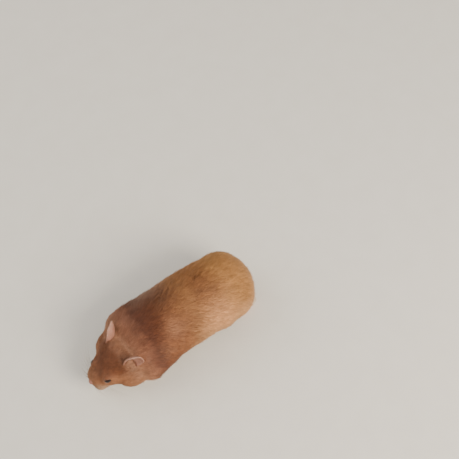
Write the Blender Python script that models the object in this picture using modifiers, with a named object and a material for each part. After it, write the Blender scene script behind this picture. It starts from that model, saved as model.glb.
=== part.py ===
"""Syrian hamster, life size, as a still museum model in a slow walk.

The animal faces +X with its left side on +Y, and stands on z = 0. Its coat's
outer surface is modelled whole, from lofts and muscle forms that a voxel
remesh joins, and is then parted by thin cuts into the parts of the body.
Heights are above the floor. "Behind" is the distance back from the nose tip,
measured along a midline that sways gently to one side, as in a turning walk.
"""

import math

import bmesh
import bpy
import numpy as np
from mathutils import Matrix, Vector

MM = 0.001

# Driving dimensions of the animal.
LENGTH = 140 * MM  # nose tip to the fur of the rump
SWAY = 4.2 * MM  # how far the middle of the back stands to the right of a straight line
GAP = 0.4 * MM  # clear width of every thin cut
CUT_REACH = 100 * MM  # how far a cutting slab runs past the body

# The trunk: behind, half width, top, underside, height of the widest level.
TRUNK_START, TRUNK_END = 22 * MM, LENGTH
TRUNK_FRONT_CAP, TRUNK_REAR_CAP = 18 * MM, 22 * MM
TRUNK = (
    (22, 23.6, 33.0, 10.5, 20.0),
    (34, 29.4, 38.5, 9.5, 20.5),
    (45, 29.3, 45.0, 8.0, 22.0),
    (58, 27.9, 50.0, 6.4, 23.0),
    (72, 26.6, 53.4, 5.4, 23.5),
    (86, 26.8, 55.4, 4.8, 24.0),
    (98, 26.3, 56.0, 4.8, 24.5),
    (110, 25.8, 55.2, 5.4, 25.0),
    (124, 26.8, 52.2, 7.4, 25.5),
    (140, 26.4, 46.0, 12.5, 26.5),
)

# The head has its own axis, from the back of the skull forward to the nose tip.
HEAD_LENGTH = 41 * MM
HEAD_YAW = math.radians(4)  # turned to the left
HEAD_PITCH = math.radians(13)  # nose down
NOSE_HEIGHT = 17.0 * MM
HEAD_CAP, MUZZLE_CAP = 12 * MM, 6 * MM
# Along the head's axis: place, half width, top, underside, widest level, all from the axis.
HEAD = (
    (0, 20.5, 17.0, -14.0, -2.0),
    (8, 20.6, 17.4, -14.2, -2.6),
    (14, 19.2, 16.4, -13.8, -3.0),
    (20, 16.8, 14.2, -12.8, -3.0),
    (26, 13.8, 11.4, -11.2, -2.8),
    (31, 10.8, 9.0, -9.8, -2.4),
    (36, 9.0, 7.2, -9.3, -1.8),
    (41, 7.4, 5.6, -8.2, -1.2),
)

# Round forms on the head, each set in the head's axes: place, left, up, then three radii.
CHEEK = (12.0, 12.9, -4.2, 13.5, 11.2, 10.6)
WHISKER_PAD = (35.2, 4.6, -2.8, 5.6, 4.9, 5.2)
CHIN = (30.5, 0.0, -8.0, 6.0, 5.2, 3.2)
BROW = (26.6, 6.8, 7.0, 6.0, 3.2, 2.4)

EYE_RADIUS = 3.05 * MM
EYE_PLACE = (28.8, 7.3, 5.3)
NOSE_PLACE = (40.0, 0.0, 1.6)
NOSE_SIZE = (1.6 * MM, 2.6 * MM, 1.7 * MM)

# An ear is a cupped leaf. Its stalk starts inside the skull.
EAR_PLACE = (9.5, 9.4, 9.0)
EAR_HEIGHT = 18.4 * MM
EAR_HALF_WIDTH = 6.5 * MM
EAR_THICKNESS = 1.1 * MM
EAR_LEAN_OUT = math.radians(29)
EAR_LEAN_BACK = math.radians(32)
EAR_TURN_OUT = math.radians(38)  # how far the opening turns from straight ahead
EAR_CUP_BASE, EAR_CUP_TIP = 4.8 * MM, 2.2 * MM

TAIL_ROOT = (131, 20.0)  # behind, height
TAIL_TIP = (140.5, 15.5)
TAIL_RADIUS, TAIL_TIP_RADIUS = 2.5 * MM, 1.5 * MM

# Each leg: its joints from the body outward as (behind, left, height, radius). The left fore
# and right hind feet are forward in the step, and the other two are back.
FORELEG_LEFT = ((52, 18, 24, 9.5), (53, 18.5, 15.5, 7.6), (44, 16.8, 9.0, 4.8), (39, 15.4, 5.0, 3.5))
FORELEG_RIGHT = ((53, -18, 24, 9.5), (59, -18.5, 15.5, 7.6), (59, -17.3, 9.5, 4.8), (57, -16, 5.0, 3.5))
HINDLEG_LEFT = ((108, 16, 24, 11), (105, 16.2, 15.5, 9.5), (122.4, 14.6, 10.5, 6.8), (134.2, 12.7, 5.2, 4.0))
HINDLEG_RIGHT = ((106, -16, 24, 11), (97, -18, 15.5, 9.5), (104, -17.4, 8.5, 5.8), (108, -16.8, 4.6, 3.6))
LEG_COVER = 1.6 * MM  # flesh and coat taken off with a leg, round its bones
LEG_BLOCK_REACH = 16  # how far outward, in millimetres, the block that takes off a leg runs on
WRIST_HEIGHT = 5.9 * MM  # where the paws take over from the legs

# The feet: which way each points, in degrees to the left, and the build of a fore and a hind foot.
FOOT_HEADINGS = {"forepaw_left": 6, "forepaw_right": -10, "hindfoot_left": 5, "hindfoot_right": -9}
FOREPAW = {
    "sole": (3.0 * MM, 2.9 * MM, 1.9 * MM),  # length, half width, half height
    "spread": (-22, -7, 7, 22),  # the toes' headings, from the inner to the outer
    "toes": (2.9, 3.6, 3.6, 2.7),  # their lengths
    "toe_radius": 0.88 * MM,
    "pad_places": ((0.5, -1.2), (0.5, 1.2), (3.6, 0)),  # ahead and outward from the wrist
}
HINDFOOT = {
    "sole": (9.2 * MM, 2.9 * MM, 2.0 * MM),
    "spread": (-23, -10, 0, 10, 23),
    "toes": (3.0, 4.6, 5.0, 4.6, 2.9),
    "toe_radius": 0.92 * MM,
    "pad_places": ((1.0, 0), (8.0, -1.5), (8.0, 1.5)),
}
PAD_SIZE = (1.5 * MM, 1.3 * MM, 1.15 * MM)
PAD_HEIGHT = 1.0 * MM
CLAW_LENGTH, CLAW_RADIUS = 1.6 * MM, 0.48 * MM
LEVEL_SLACK = 0.05 * MM  # points of a sole within this of the floor are laid on it

# The planes that part head from neck and neck from trunk: behind, left, height.
HEAD_CUT = (41, 0, 27)
NECK_CUT = (50, 0, 27)

# How finely each form is made.
BODY_VOXEL, PAW_VOXEL, EAR_VOXEL = 0.9 * MM, 0.42 * MM, 0.34 * MM
BODY_TRIANGLES, PAW_TRIANGLES, EAR_TRIANGLES = 4600, 330, 440
CLEANED_SHARE = 0.86  # triangles left in each part once the slivers of its cuts are gone

parts = bpy.data.collections.new("syrian_hamster")
helpers = bpy.data.collections.new("cutters")


# ---------------------------------------------------------------- placing


def midline(behind):
    """A point of the floor under the midline, this far behind the nose."""
    x = LENGTH / 2 - behind
    return Vector((x, -SWAY * (1 - (2 * x / LENGTH) ** 2), 0))


def sideways(behind):
    """The level direction to the left, square to the midline."""
    x = LENGTH / 2 - behind
    slope = 8 * SWAY * x / LENGTH**2
    return Vector((-slope, 1, 0)).normalized()


def body_point(behind, left, height):
    """A place in the body, given in millimetres."""
    return midline(behind * MM) + sideways(behind * MM) * left * MM + Vector((0, 0, height * MM))


def head_axes():
    """The head's frame: columns are forward, left and up, with its origin at the skull's back."""
    turn = Matrix.Rotation(HEAD_YAW, 3, "Z") @ Matrix.Rotation(HEAD_PITCH, 3, "Y")
    nose = midline(0) + Vector((0, 0, NOSE_HEIGHT))
    frame = turn.to_4x4()
    frame.translation = nose - turn @ Vector((HEAD_LENGTH, 0, 0))
    return frame


HEAD_FRAME = head_axes()


def head_point(forward, left, up):
    """A place in the head's frame, given in millimetres."""
    return HEAD_FRAME @ Vector((forward * MM, left * MM, up * MM))


def smooth_table(rows):
    """Rows of (place, values...) in millimetres, read as a smooth curve through them."""
    table = np.array(rows, float) * MM
    places, values = table[:, 0], table[:, 1:]
    slopes = np.gradient(values, places, axis=0)

    def read(place):
        i = int(np.clip(np.searchsorted(places, place) - 1, 0, len(places) - 2))
        step = places[i + 1] - places[i]
        t = min(max((place - places[i]) / step, 0.0), 1.0)
        lean_in, lean_out = t * (1 - t) ** 2 * step, t * t * (t - 1) * step
        share = t * t * (3 - 2 * t)
        ends = values[i] * (1 - share) + values[i + 1] * share
        return ends + slopes[i] * lean_in + slopes[i + 1] * lean_out

    return read


# ---------------------------------------------------------------- forms


def new_object(name, bm, collection=helpers):
    mesh = bpy.data.meshes.new(name)
    bmesh.ops.recalc_face_normals(bm, faces=bm.faces)
    bm.to_mesh(mesh)
    bm.free()
    obj = bpy.data.objects.new(name, mesh)
    collection.objects.link(obj)
    return obj


def ball(name, centre, radii, turn=None, segments=24):
    """An ellipsoid, with its radii along the columns of turn."""
    bm = bmesh.new()
    bmesh.ops.create_uvsphere(bm, u_segments=segments, v_segments=segments // 2, radius=1.0)
    frame = (turn or Matrix.Identity(3)).to_4x4() @ Matrix.Diagonal((*radii, 1))
    frame.translation = centre
    bmesh.ops.transform(bm, matrix=frame, verts=bm.verts)
    return new_object(name, bm)


def head_ball(name, form, side=1):
    """A round form in the head's axes. side is 1 for the left and -1 for the right."""
    forward, left, up, *radii = form
    radii = [r * MM for r in radii]
    return ball(name, head_point(forward, side * left, up), radii, HEAD_FRAME.to_3x3())


def joints_of(bones):
    """A leg's joints as (place, radius)."""
    return [(body_point(*joint[:3]), joint[3] * MM) for joint in bones]


def limb(name, points):
    """A chain of tapering rounded links through points of (place, radius)."""
    bm = bmesh.new()
    for (start, r_start), (end, r_end) in zip(points, points[1:]):
        axis = end - start
        turn = axis.to_track_quat("Z", "Y").to_matrix().to_4x4()
        turn.translation = (start + end) / 2
        bmesh.ops.create_cone(
            bm, cap_ends=True, segments=16, radius1=r_start, radius2=r_end, depth=axis.length, matrix=turn
        )
    for place, radius in points:
        bmesh.ops.create_uvsphere(
            bm, u_segments=16, v_segments=10, radius=radius, matrix=Matrix.Translation(place)
        )
    return new_object(name, bm)


def loft(name, read, start, end, front_cap, rear_cap, place):
    """A sphere drawn out along an axis. read gives the half width, top, underside and widest
    level at each place, both ends close in a quarter ellipse, and place puts it in the body."""
    bm = bmesh.new()
    bmesh.ops.create_uvsphere(bm, u_segments=40, v_segments=48, radius=1.0)
    for vert in bm.verts:
        along = start + (end - start) * (1 - vert.co.z) / 2
        half, top, underside, level = read(along)
        nearness = min((along - start) / front_cap, (end - along) / rear_cap, 1.0)
        closing = math.sqrt(max(0.0, 1 - (1 - nearness) ** 2))
        around = math.atan2(vert.co.y, vert.co.x)
        rise = (top - level) if math.sin(around) > 0 else (level - underside)
        vert.co = place(along, half * closing * math.cos(around), level + rise * closing * math.sin(around))
    return new_object(name, bm)


def applied(obj):
    """The object with its modifiers made real."""
    graph = bpy.context.evaluated_depsgraph_get()
    bpy.context.view_layer.update()
    mesh = bpy.data.meshes.new_from_object(obj.evaluated_get(graph))
    mesh.transform(obj.matrix_world)
    obj.modifiers.clear()
    obj.matrix_world = Matrix.Identity(4)
    before, obj.data = obj.data, mesh
    bpy.data.meshes.remove(before)
    return obj


def joined(name, objects, voxel, smoothing):
    """One closed skin round all of these forms, with the creases between them eased."""
    bm = bmesh.new()
    for obj in objects:
        bm.from_mesh(obj.data)
        bpy.data.objects.remove(obj)
    whole = new_object(name, bm)
    remesh = whole.modifiers.new("remesh", "REMESH")
    remesh.mode = "VOXEL"
    remesh.voxel_size = voxel
    ease = whole.modifiers.new("ease", "SMOOTH")
    ease.factor = 0.5
    ease.iterations = smoothing
    return applied(whole)


def thinned(obj, triangles):
    """The same form in about this many triangles."""
    thin = obj.modifiers.new("thin", "DECIMATE")
    thin.ratio = triangles / sum(len(face.vertices) - 2 for face in obj.data.polygons)
    return applied(obj)


# ---------------------------------------------------------------- cutting


def grown(obj, by):
    """A copy of the object with its surface moved outward."""
    copy = bpy.data.objects.new(obj.name + "_grown", obj.data.copy())
    helpers.objects.link(copy)
    swell = copy.modifiers.new("swell", "DISPLACE")
    swell.strength = by
    swell.mid_level = 0
    return applied(copy)


def boolean(obj, cutter, operation):
    cut = obj.modifiers.new("cut", "BOOLEAN")
    cut.operation = operation
    cut.object = cutter
    return applied(obj)


def copied(obj, name):
    copy = bpy.data.objects.new(name, obj.data.copy())
    helpers.objects.link(copy)
    return copy


def leg_block(name, bones, by):
    """The plain convex block that holds a leg's round joints, each grown by this much, and that
    runs on outward, so that its walls meet the flank squarely."""
    bm = bmesh.new()
    for behind, left, height, radius in bones:
        for outward in (0, math.copysign(LEG_BLOCK_REACH, left)):
            joint = Matrix.Translation(body_point(behind, left + outward, height))
            bmesh.ops.create_icosphere(bm, subdivisions=2, radius=radius * MM + by, matrix=joint)
    places = [vert.co.copy() for vert in bm.verts]
    bm.clear()
    for place in places:
        bm.verts.new(place)
    hull = bmesh.ops.convex_hull(bm, input=bm.verts)
    inside = hull["geom_interior"] + hull["geom_unused"]
    loose = [item for item in inside if isinstance(item, bmesh.types.BMVert)]
    bmesh.ops.delete(bm, geom=list(set(loose)), context="VERTS")
    return new_object(name, bm)


def slab(point, normal):
    """A block whose near face lies in the plane, and which fills the normal's side of it."""
    bm = bmesh.new()
    bmesh.ops.create_cube(bm, size=2 * CUT_REACH)
    turn = normal.to_track_quat("Z", "Y").to_matrix().to_4x4()
    turn.translation = point + normal * CUT_REACH
    bmesh.ops.transform(bm, matrix=turn, verts=bm.verts)
    return new_object("slab", bm)


def parted(obj, name, point, normal):
    """Takes off what lies on the normal's side of a plane, as a new object. The cut is GAP wide."""
    piece = boolean(copied(obj, name), slab(point + normal * GAP / 2, normal), "INTERSECT")
    boolean(obj, slab(point - normal * GAP / 2, normal), "DIFFERENCE")
    return piece


# ---------------------------------------------------------------- the feet


def toe(name, knuckle, heading, length, radius):
    """One toe: a low arch from its knuckle to a rounded tip on the floor, and a claw."""
    rise = Vector((0, 0, 0.5 * radius))
    middle = knuckle + heading * length * 0.5 + rise
    tip = knuckle + heading * length
    tip.z = radius * 0.86
    claw_root = tip + heading * radius * 0.5 + Vector((0, 0, radius * 0.35))
    claw_tip = claw_root + heading * CLAW_LENGTH - Vector((0, 0, radius * 0.55))
    flesh = limb(name, ((knuckle, radius), (middle, radius * 0.96), (tip, radius)))
    claw = limb(name + "_claw", ((claw_root, CLAW_RADIUS * 1.2), (claw_tip, CLAW_RADIUS * 0.62)))
    return [flesh, claw]


def foot(name, bones, heading_degrees, sole, spread, toes, toe_radius, pad_places):
    """A paw: the end of its limb, the sole's rounded block, its pads and its toes."""
    side = 1 if bones[-1][1] > 0 else -1
    ankle = body_point(*bones[-1][:3])
    turn = Matrix.Rotation(math.radians(heading_degrees), 3, "Z")
    ahead, outward = turn @ Vector((1, 0, 0)), turn @ Vector((0, side, 0))
    length, half_width, half_height = sole
    start = Vector((ankle.x, ankle.y, half_height * 0.9))
    ball_of_foot = start + ahead * length
    forms = [limb(name + "_shank", joints_of(bones[-2:]))]
    middle = (start + ball_of_foot) / 2
    radii = (length * 0.5 + half_width * 0.55, half_width * 0.82, half_height)
    forms.append(ball(name + "_sole", middle, radii, turn))
    forms.append(ball(name + "_ball", ball_of_foot, (half_width, half_width * 1.06, half_height), turn))
    for number, (along, across) in enumerate(pad_places):
        place = start + ahead * along * MM + outward * across * MM
        place.z = PAD_HEIGHT
        forms.append(ball(f"{name}_pad{number}", place, PAD_SIZE, turn, 12))
    for number, (angle, reach) in enumerate(zip(spread, toes)):
        aim = Matrix.Rotation(math.radians(angle * side), 3, "Z") @ ahead
        across = half_width * 0.78 * angle / max(spread)
        knuckle = ball_of_foot + outward * across + aim * half_width * 0.45
        knuckle.z = toe_radius * 1.1
        forms += toe(f"{name}_toe{number}", knuckle, aim, reach * MM, toe_radius)
    paw = joined(name, forms, PAW_VOXEL, 2)
    return thinned(paw, PAW_TRIANGLES * len(toes) / 4)


# ---------------------------------------------------------------- head pieces


def ear(name, side):
    """A cupped leaf of gristle and skin, wide and round at the top, rolled in at its foot."""
    bm = bmesh.new()
    columns, rows = 10, 11
    grid = []
    for row in range(rows + 1):
        up = row / rows
        rounding = math.sqrt(max(0.0, 1 - (max(0.0, up - 0.5) / 0.5) ** 2.4))
        half = EAR_HALF_WIDTH * (0.58 + 0.42 * math.sin(math.pi / 2 * min(1.0, up / 0.55))) * rounding
        half = max(half, EAR_HALF_WIDTH * 0.16)
        cup = EAR_CUP_BASE + (EAR_CUP_TIP - EAR_CUP_BASE) * up
        line = []
        for column in range(columns + 1):
            across = 2 * column / columns - 1
            bow = cup * (across * across) * rounding - 1.6 * MM * math.sin(math.pi * up)
            line.append(bm.verts.new((bow, across * half, up * EAR_HEIGHT * (1 - 0.05 * across**2))))
        grid.append(line)
    for low, high in zip(grid, grid[1:]):
        for column in range(columns):
            bm.faces.new((low[column], low[column + 1], high[column + 1], high[column]))
    leaf = new_object(name, bm)
    shell = leaf.modifiers.new("thickness", "SOLIDIFY")
    shell.thickness = EAR_THICKNESS
    shell.offset = 0
    applied(leaf)
    turn = Matrix.Rotation(-side * EAR_LEAN_OUT, 4, "X") @ Matrix.Rotation(-EAR_LEAN_BACK, 4, "Y")
    turn = HEAD_FRAME.to_3x3().to_4x4() @ turn @ Matrix.Rotation(side * EAR_TURN_OUT, 4, "Z")
    turn.translation = head_point(EAR_PLACE[0], side * EAR_PLACE[1], EAR_PLACE[2])
    leaf.data.transform(turn)
    return thinned(joined(name, [leaf], EAR_VOXEL, 1), EAR_TRIANGLES)


def eyeball(name, side, radius):
    centre = head_point(EYE_PLACE[0], side * EYE_PLACE[1], EYE_PLACE[2])
    return ball(name, centre, (radius, radius, radius), segments=14)


def nose_pad(name, by=0.0):
    radii = [r + by for r in NOSE_SIZE]
    return ball(name, head_point(*NOSE_PLACE), radii, HEAD_FRAME.to_3x3(), 12)


# ---------------------------------------------------------------- colours


def material(name, colour, roughness):
    found = bpy.data.materials.new(name)
    found.use_nodes = True
    surface = found.node_tree.nodes["Principled BSDF"]
    surface.inputs["Base Color"].default_value = (*colour, 1)
    surface.inputs["Roughness"].default_value = roughness
    surface.inputs["Metallic"].default_value = 0
    return found


def bodies_of(bm):
    """The separate bodies of a mesh, each as a set of vertices."""
    waiting, found = set(bm.verts), []
    while waiting:
        body, edge_of_body = set(), [waiting.pop()]
        while edge_of_body:
            vert = edge_of_body.pop()
            body.add(vert)
            near = {edge.other_vert(vert) for edge in vert.link_edges} & waiting
            waiting -= near
            edge_of_body += near
        found.append(body)
    return found


def keep(obj, name, finish):
    """Makes a shaped object one of the model's parts, without the crumbs and slivers of a cut."""
    bm = bmesh.new()
    bm.from_mesh(obj.data)
    crumbs = sorted(bodies_of(bm), key=len)[:-1]
    bmesh.ops.delete(bm, geom=[vert for body in crumbs for vert in body], context="VERTS")
    bmesh.ops.triangulate(bm, faces=bm.faces)
    bm.to_mesh(obj.data)
    bm.free()
    thinned(obj, len(obj.data.polygons) * CLEANED_SHARE)
    obj.name = name
    obj.data.name = name
    obj.data.materials.clear()
    obj.data.materials.append(finish)
    obj.data.shade_smooth()
    helpers.objects.unlink(obj)
    parts.objects.link(obj)
    return obj


# ---------------------------------------------------------------- the animal


def body_forms():
    forms = [
        loft(
            "trunk_form",
            smooth_table(TRUNK),
            TRUNK_START,
            TRUNK_END,
            TRUNK_FRONT_CAP,
            TRUNK_REAR_CAP,
            lambda along, left, up: body_point(along / MM, left / MM, up / MM),
        ),
        loft(
            "head_form",
            smooth_table(HEAD),
            0,
            HEAD_LENGTH,
            HEAD_CAP,
            MUZZLE_CAP,
            lambda along, left, up: HEAD_FRAME @ Vector((along, left, up)),
        ),
        head_ball("chin_form", CHIN),
    ]
    for side in (1, -1):
        forms.append(head_ball("cheek_form", CHEEK, side))
        forms.append(head_ball("pad_form", WHISKER_PAD, side))
        forms.append(head_ball("brow_form", BROW, side))
    return forms


def build():
    for obj in list(bpy.data.objects):
        bpy.data.objects.remove(obj)
    for collection in (parts, helpers):
        bpy.context.scene.collection.children.link(collection)

    fur = material("golden_fur", (0.52, 0.25, 0.09), 0.8)
    bare = material("bare_skin", (0.72, 0.42, 0.35), 0.55)
    cornea = material("dark_eye", (0.01, 0.006, 0.005), 0.08)

    legs = {
        "foreleg_left": FORELEG_LEFT,
        "foreleg_right": FORELEG_RIGHT,
        "hindleg_left": HINDLEG_LEFT,
        "hindleg_right": HINDLEG_RIGHT,
    }
    limbs = [limb(name + "_form", joints_of(bones)) for name, bones in legs.items()]
    whole = joined("whole", [*body_forms(), *limbs], BODY_VOXEL, 12)
    thinned(whole, BODY_TRIANGLES)

    # The legs come off with the flesh round their bones.
    pieces = {}
    for name, bones in legs.items():
        pieces[name] = boolean(copied(whole, name), leg_block(name, bones, LEG_COVER), "INTERSECT")
        boolean(whole, leg_block(name, bones, LEG_COVER + GAP), "DIFFERENCE")

    # The head comes off behind the ears and cheeks, and the neck before the shoulders.
    slant = HEAD_FRAME.to_3x3() @ Vector((1, 0, 0))
    pieces["head"] = parted(whole, "head", body_point(*HEAD_CUT), slant)
    slant = (slant + Vector((1, 0, 0))).normalized()
    pieces["neck"] = parted(whole, "neck", body_point(*NECK_CUT), slant)
    pieces["trunk"] = whole

    # The paws take over at the wrists and ankles.
    down = Vector((0, 0, -1))
    for leg, paw, style in (
        ("foreleg_left", "forepaw_left", FOREPAW),
        ("foreleg_right", "forepaw_right", FOREPAW),
        ("hindleg_left", "hindfoot_left", HINDFOOT),
        ("hindleg_right", "hindfoot_right", HINDFOOT),
    ):
        pieces[paw] = foot(paw, legs[leg], FOOT_HEADINGS[paw], **style)
        wrist = Vector((0, 0, WRIST_HEIGHT))
        parted(pieces[leg], "offcut", wrist, down)
        pieces[paw] = parted(pieces[paw], paw, wrist, down)
        pieces[paw] = parted(pieces[paw], paw, Vector((0, 0, -GAP / 2)), Vector((0, 0, 1)))

    root, tip = (body_point(behind, 0, height) for behind, height in (TAIL_ROOT, TAIL_TIP))
    tail = limb("tail_form", ((root, TAIL_RADIUS), (tip, TAIL_TIP_RADIUS)))
    tail = thinned(joined("tail", [tail], PAW_VOXEL, 2), 160)
    pieces["tail"] = boolean(tail, grown(whole, GAP), "DIFFERENCE")

    for name, side in (("eye_left", 1), ("eye_right", -1)):
        pieces[name] = eyeball(name, side, EYE_RADIUS)
        boolean(pieces["head"], eyeball(name + "_socket", side, EYE_RADIUS + GAP), "DIFFERENCE")
    pieces["nose"] = nose_pad("nose")
    boolean(pieces["head"], nose_pad("nose_recess", GAP), "DIFFERENCE")
    for name, side in (("ear_left", 1), ("ear_right", -1)):
        leaf = boolean(ear(name, side), grown(pieces["head"], GAP), "DIFFERENCE")
        pieces[name] = boolean(leaf, grown(pieces["neck"], GAP), "DIFFERENCE")

    for helper in set(helpers.objects) - set(pieces.values()):
        bpy.data.objects.remove(helper)
    for mesh in [mesh for mesh in bpy.data.meshes if not mesh.users]:
        bpy.data.meshes.remove(mesh)
    for name, piece in pieces.items():
        finish = fur
        if name.startswith("eye"):
            finish = cornea
        elif name.startswith(("ear", "nose")):
            finish = bare
        keep(piece, name, finish)

    for paw in FOOT_HEADINGS:  # the soles are level
        for vert in pieces[paw].data.vertices:
            if abs(vert.co.z) < LEVEL_SLACK:
                vert.co.z = 0

    # The origin goes under the middle of the overall box.
    corners = np.array([vert.co for piece in pieces.values() for vert in piece.data.vertices])
    middle = (corners.min(0) + corners.max(0)) / 2
    for piece in pieces.values():
        piece.data.transform(Matrix.Translation((-middle[0], -middle[1], 0)))


build()
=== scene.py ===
import math

import bmesh
import bpy
import numpy as np
from mathutils import Matrix, Vector
from mathutils.bvhtree import BVHTree


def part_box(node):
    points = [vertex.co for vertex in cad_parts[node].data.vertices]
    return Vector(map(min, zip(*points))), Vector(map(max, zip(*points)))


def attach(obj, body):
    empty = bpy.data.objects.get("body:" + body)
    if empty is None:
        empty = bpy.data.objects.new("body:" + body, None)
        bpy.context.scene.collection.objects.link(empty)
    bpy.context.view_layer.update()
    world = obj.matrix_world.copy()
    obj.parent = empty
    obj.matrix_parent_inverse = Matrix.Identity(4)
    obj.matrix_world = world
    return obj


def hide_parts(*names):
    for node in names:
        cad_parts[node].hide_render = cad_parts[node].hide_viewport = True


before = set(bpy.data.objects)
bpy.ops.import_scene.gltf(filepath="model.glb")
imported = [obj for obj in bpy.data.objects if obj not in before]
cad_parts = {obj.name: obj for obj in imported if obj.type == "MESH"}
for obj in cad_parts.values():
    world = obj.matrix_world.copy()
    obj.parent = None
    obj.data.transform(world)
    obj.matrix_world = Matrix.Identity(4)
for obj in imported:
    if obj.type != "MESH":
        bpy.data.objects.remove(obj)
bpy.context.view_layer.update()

# ---- The hide. One skin runs over the whole animal, from the nose leather to the soles and the stub of
# the tail, with no seam. It lies under the coat by the coat's depth and comes to the surface where the
# animal is bare: the ears, the feet, the nose and the tail.
MM = 0.001
FLESH = (
    "trunk", "neck", "head", "tail", "nose", "ear_left", "ear_right",
    "foreleg_left", "foreleg_right", "hindleg_left", "hindleg_right",
    "forepaw_left", "forepaw_right", "hindfoot_left", "hindfoot_right",
)
JOIN = 0.30 * MM  # each part grows by this, so that the fine cuts between them close
EAR_JOIN = 0.12 * MM
WELD = 0.002 * MM  # points nearer than this are one point
HIDE_VOXEL = 0.42 * MM
EASE, EASE_ROUNDS = 0.5, 5
HIDE_TRIANGLES = 108000


def places(mesh, name="co"):
    """The mesh's points, or their normals, as rows of three numbers."""
    found = np.empty(len(mesh.vertices) * 3, np.float32)
    mesh.vertices.foreach_get(name, found)
    return found.reshape(-1, 3).astype(float)


def triangles(mesh):
    """The mesh's triangles, as rows of three point numbers."""
    mesh.calc_loop_triangles()
    found = np.empty(len(mesh.loop_triangles) * 3, np.int32)
    mesh.loop_triangles.foreach_get("vertices", found)
    return found.reshape(-1, 3)


def shown(name, mesh):
    """A new object of the scene that wears this mesh."""
    obj = bpy.data.objects.new(name, mesh)
    bpy.context.scene.collection.objects.link(obj)
    return obj


def applied(obj):
    """Gives the object the mesh that its modifiers make."""
    graph = bpy.context.evaluated_depsgraph_get()
    old, new = obj.data, bpy.data.meshes.new_from_object(obj.evaluated_get(graph))
    obj.modifiers.clear()
    obj.data = new
    bpy.data.meshes.remove(old)


def smoothstep(value, low, high):
    """0 below low, 1 above high, and an even ease between them."""
    share = np.clip((value - low) / (high - low), 0, 1)
    return share * share * (3 - 2 * share)


whole = bmesh.new()
for name in FLESH:
    part = bmesh.new()
    part.from_mesh(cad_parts[name].data)
    bmesh.ops.remove_doubles(part, verts=part.verts, dist=WELD)
    part.normal_update()
    for vert in part.verts:
        vert.co += vert.normal * (EAR_JOIN if name.startswith("ear") else JOIN)
    swollen = bpy.data.meshes.new("swollen")
    part.to_mesh(swollen)
    part.free()
    whole.from_mesh(swollen)
    bpy.data.meshes.remove(swollen)
hide_mesh = bpy.data.meshes.new("hide")
whole.to_mesh(hide_mesh)
whole.free()
hide = shown("hide", hide_mesh)
closing = hide.modifiers.new("closing", "REMESH")
closing.mode = "VOXEL"
closing.voxel_size = HIDE_VOXEL
easing = hide.modifiers.new("easing", "SMOOTH")
easing.factor, easing.iterations = EASE, EASE_ROUNDS
applied(hide)

# Only the one closed skin is kept, without the crumbs that come loose at the toes.
pieces = bmesh.new()
pieces.from_mesh(hide.data)
unseen, islands = set(pieces.verts), []
while unseen:
    island = [unseen.pop()]
    for vert in island:
        for edge in vert.link_edges:
            other = edge.other_vert(vert)
            if other in unseen:
                unseen.remove(other)
                island.append(other)
    islands.append(island)
largest = max(islands, key=len)
for island in islands:
    if island is not largest:
        bmesh.ops.delete(pieces, geom=island, context="VERTS")

# Each toe ends round and blunt where its claw grows from it.
TOES = {  # each claw's root and the way it points: x, y in millimetres, then degrees
    "forepaw_left": ((38.36, 12.19, -16), (39.08, 14.91, -1), (38.79, 17.63, 13), (37.34, 20.05, 28)),
    "forepaw_right": ((21.74, -13.98, 12), (22.26, -16.74, -3), (21.79, -19.44, -17), (20.18, -21.76, -32)),
    "hindfoot_left": (
        (-48.43, 12.43, -18), (-46.73, 14.62, -5), (-46.42, 16.75, 5), (-47.09, 18.79, 15),
        (-49.23, 20.60, 28),
    ),
    "hindfoot_right": (
        (-24.54, -14.38, 14), (-23.00, -16.68, 1), (-22.83, -18.82, -9), (-23.65, -20.81, -19),
        (-25.91, -22.47, -32),
    ),
}
TOE_HEIGHT, TOE_END = 1.08 * MM, 0.30 * MM  # the claw's root over the ground, and the toe's end past it
TOE_SPAN, TOE_HALF = 3 * MM, 1.25 * MM  # a toe's end is no longer or taller, and no wider to each side
BLUNTING = 0.9  # the share taken off what reaches past the toe's end
toe_ends = [
    (Vector((x * MM, y * MM, TOE_HEIGHT)), Vector((math.cos(math.radians(t)), math.sin(math.radians(t)), 0)))
    for toes in TOES.values() for x, y, t in toes
]
low_verts = [vert for vert in pieces.verts if vert.co.z < TOE_SPAN]
for claw_root, aim in toe_ends:
    for vert in low_verts:
        away = vert.co - claw_root
        past = away.dot(aim)
        if TOE_END < past < TOE_SPAN and (away - aim * past).length < TOE_HALF:
            vert.co -= aim * (past - TOE_END) * BLUNTING
pieces.to_mesh(hide.data)
pieces.free()

# Where the face, the ears and the feet are, the hide keeps its finest grain.
eyes = {side: sum(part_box("eye_" + side), Vector()) / 2 for side in ("left", "right")}
nose = sum(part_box("nose"), Vector()) / 2
EYES_RISE, EYES_LEAD = 1.0 * MM, 0.3 * MM  # from the head's middle to the line between the eyes
head_left = (eyes["left"] - eyes["right"]).normalized()
HEAD_PITCH = math.radians(13)  # the head is carried nose down by this
level_ahead = head_left.cross(Vector((0, 0, 1)))
head_ahead = level_ahead * math.cos(HEAD_PITCH) - Vector((0, 0, 1)) * math.sin(HEAD_PITCH)
head_up = head_ahead.cross(head_left)
head_middle = (eyes["left"] + eyes["right"]) / 2 - head_up * EYES_RISE - head_ahead * EYES_LEAD


def head_place(ahead, left, up):
    """A place on the head, in millimetres from the head's middle."""
    return head_middle + (head_ahead * ahead + head_left * left + head_up * up) * MM


def near(points, centre):
    """How far, in millimetres, each point is from a place."""
    return np.linalg.norm(points - np.array(centre), axis=1) / MM


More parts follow.
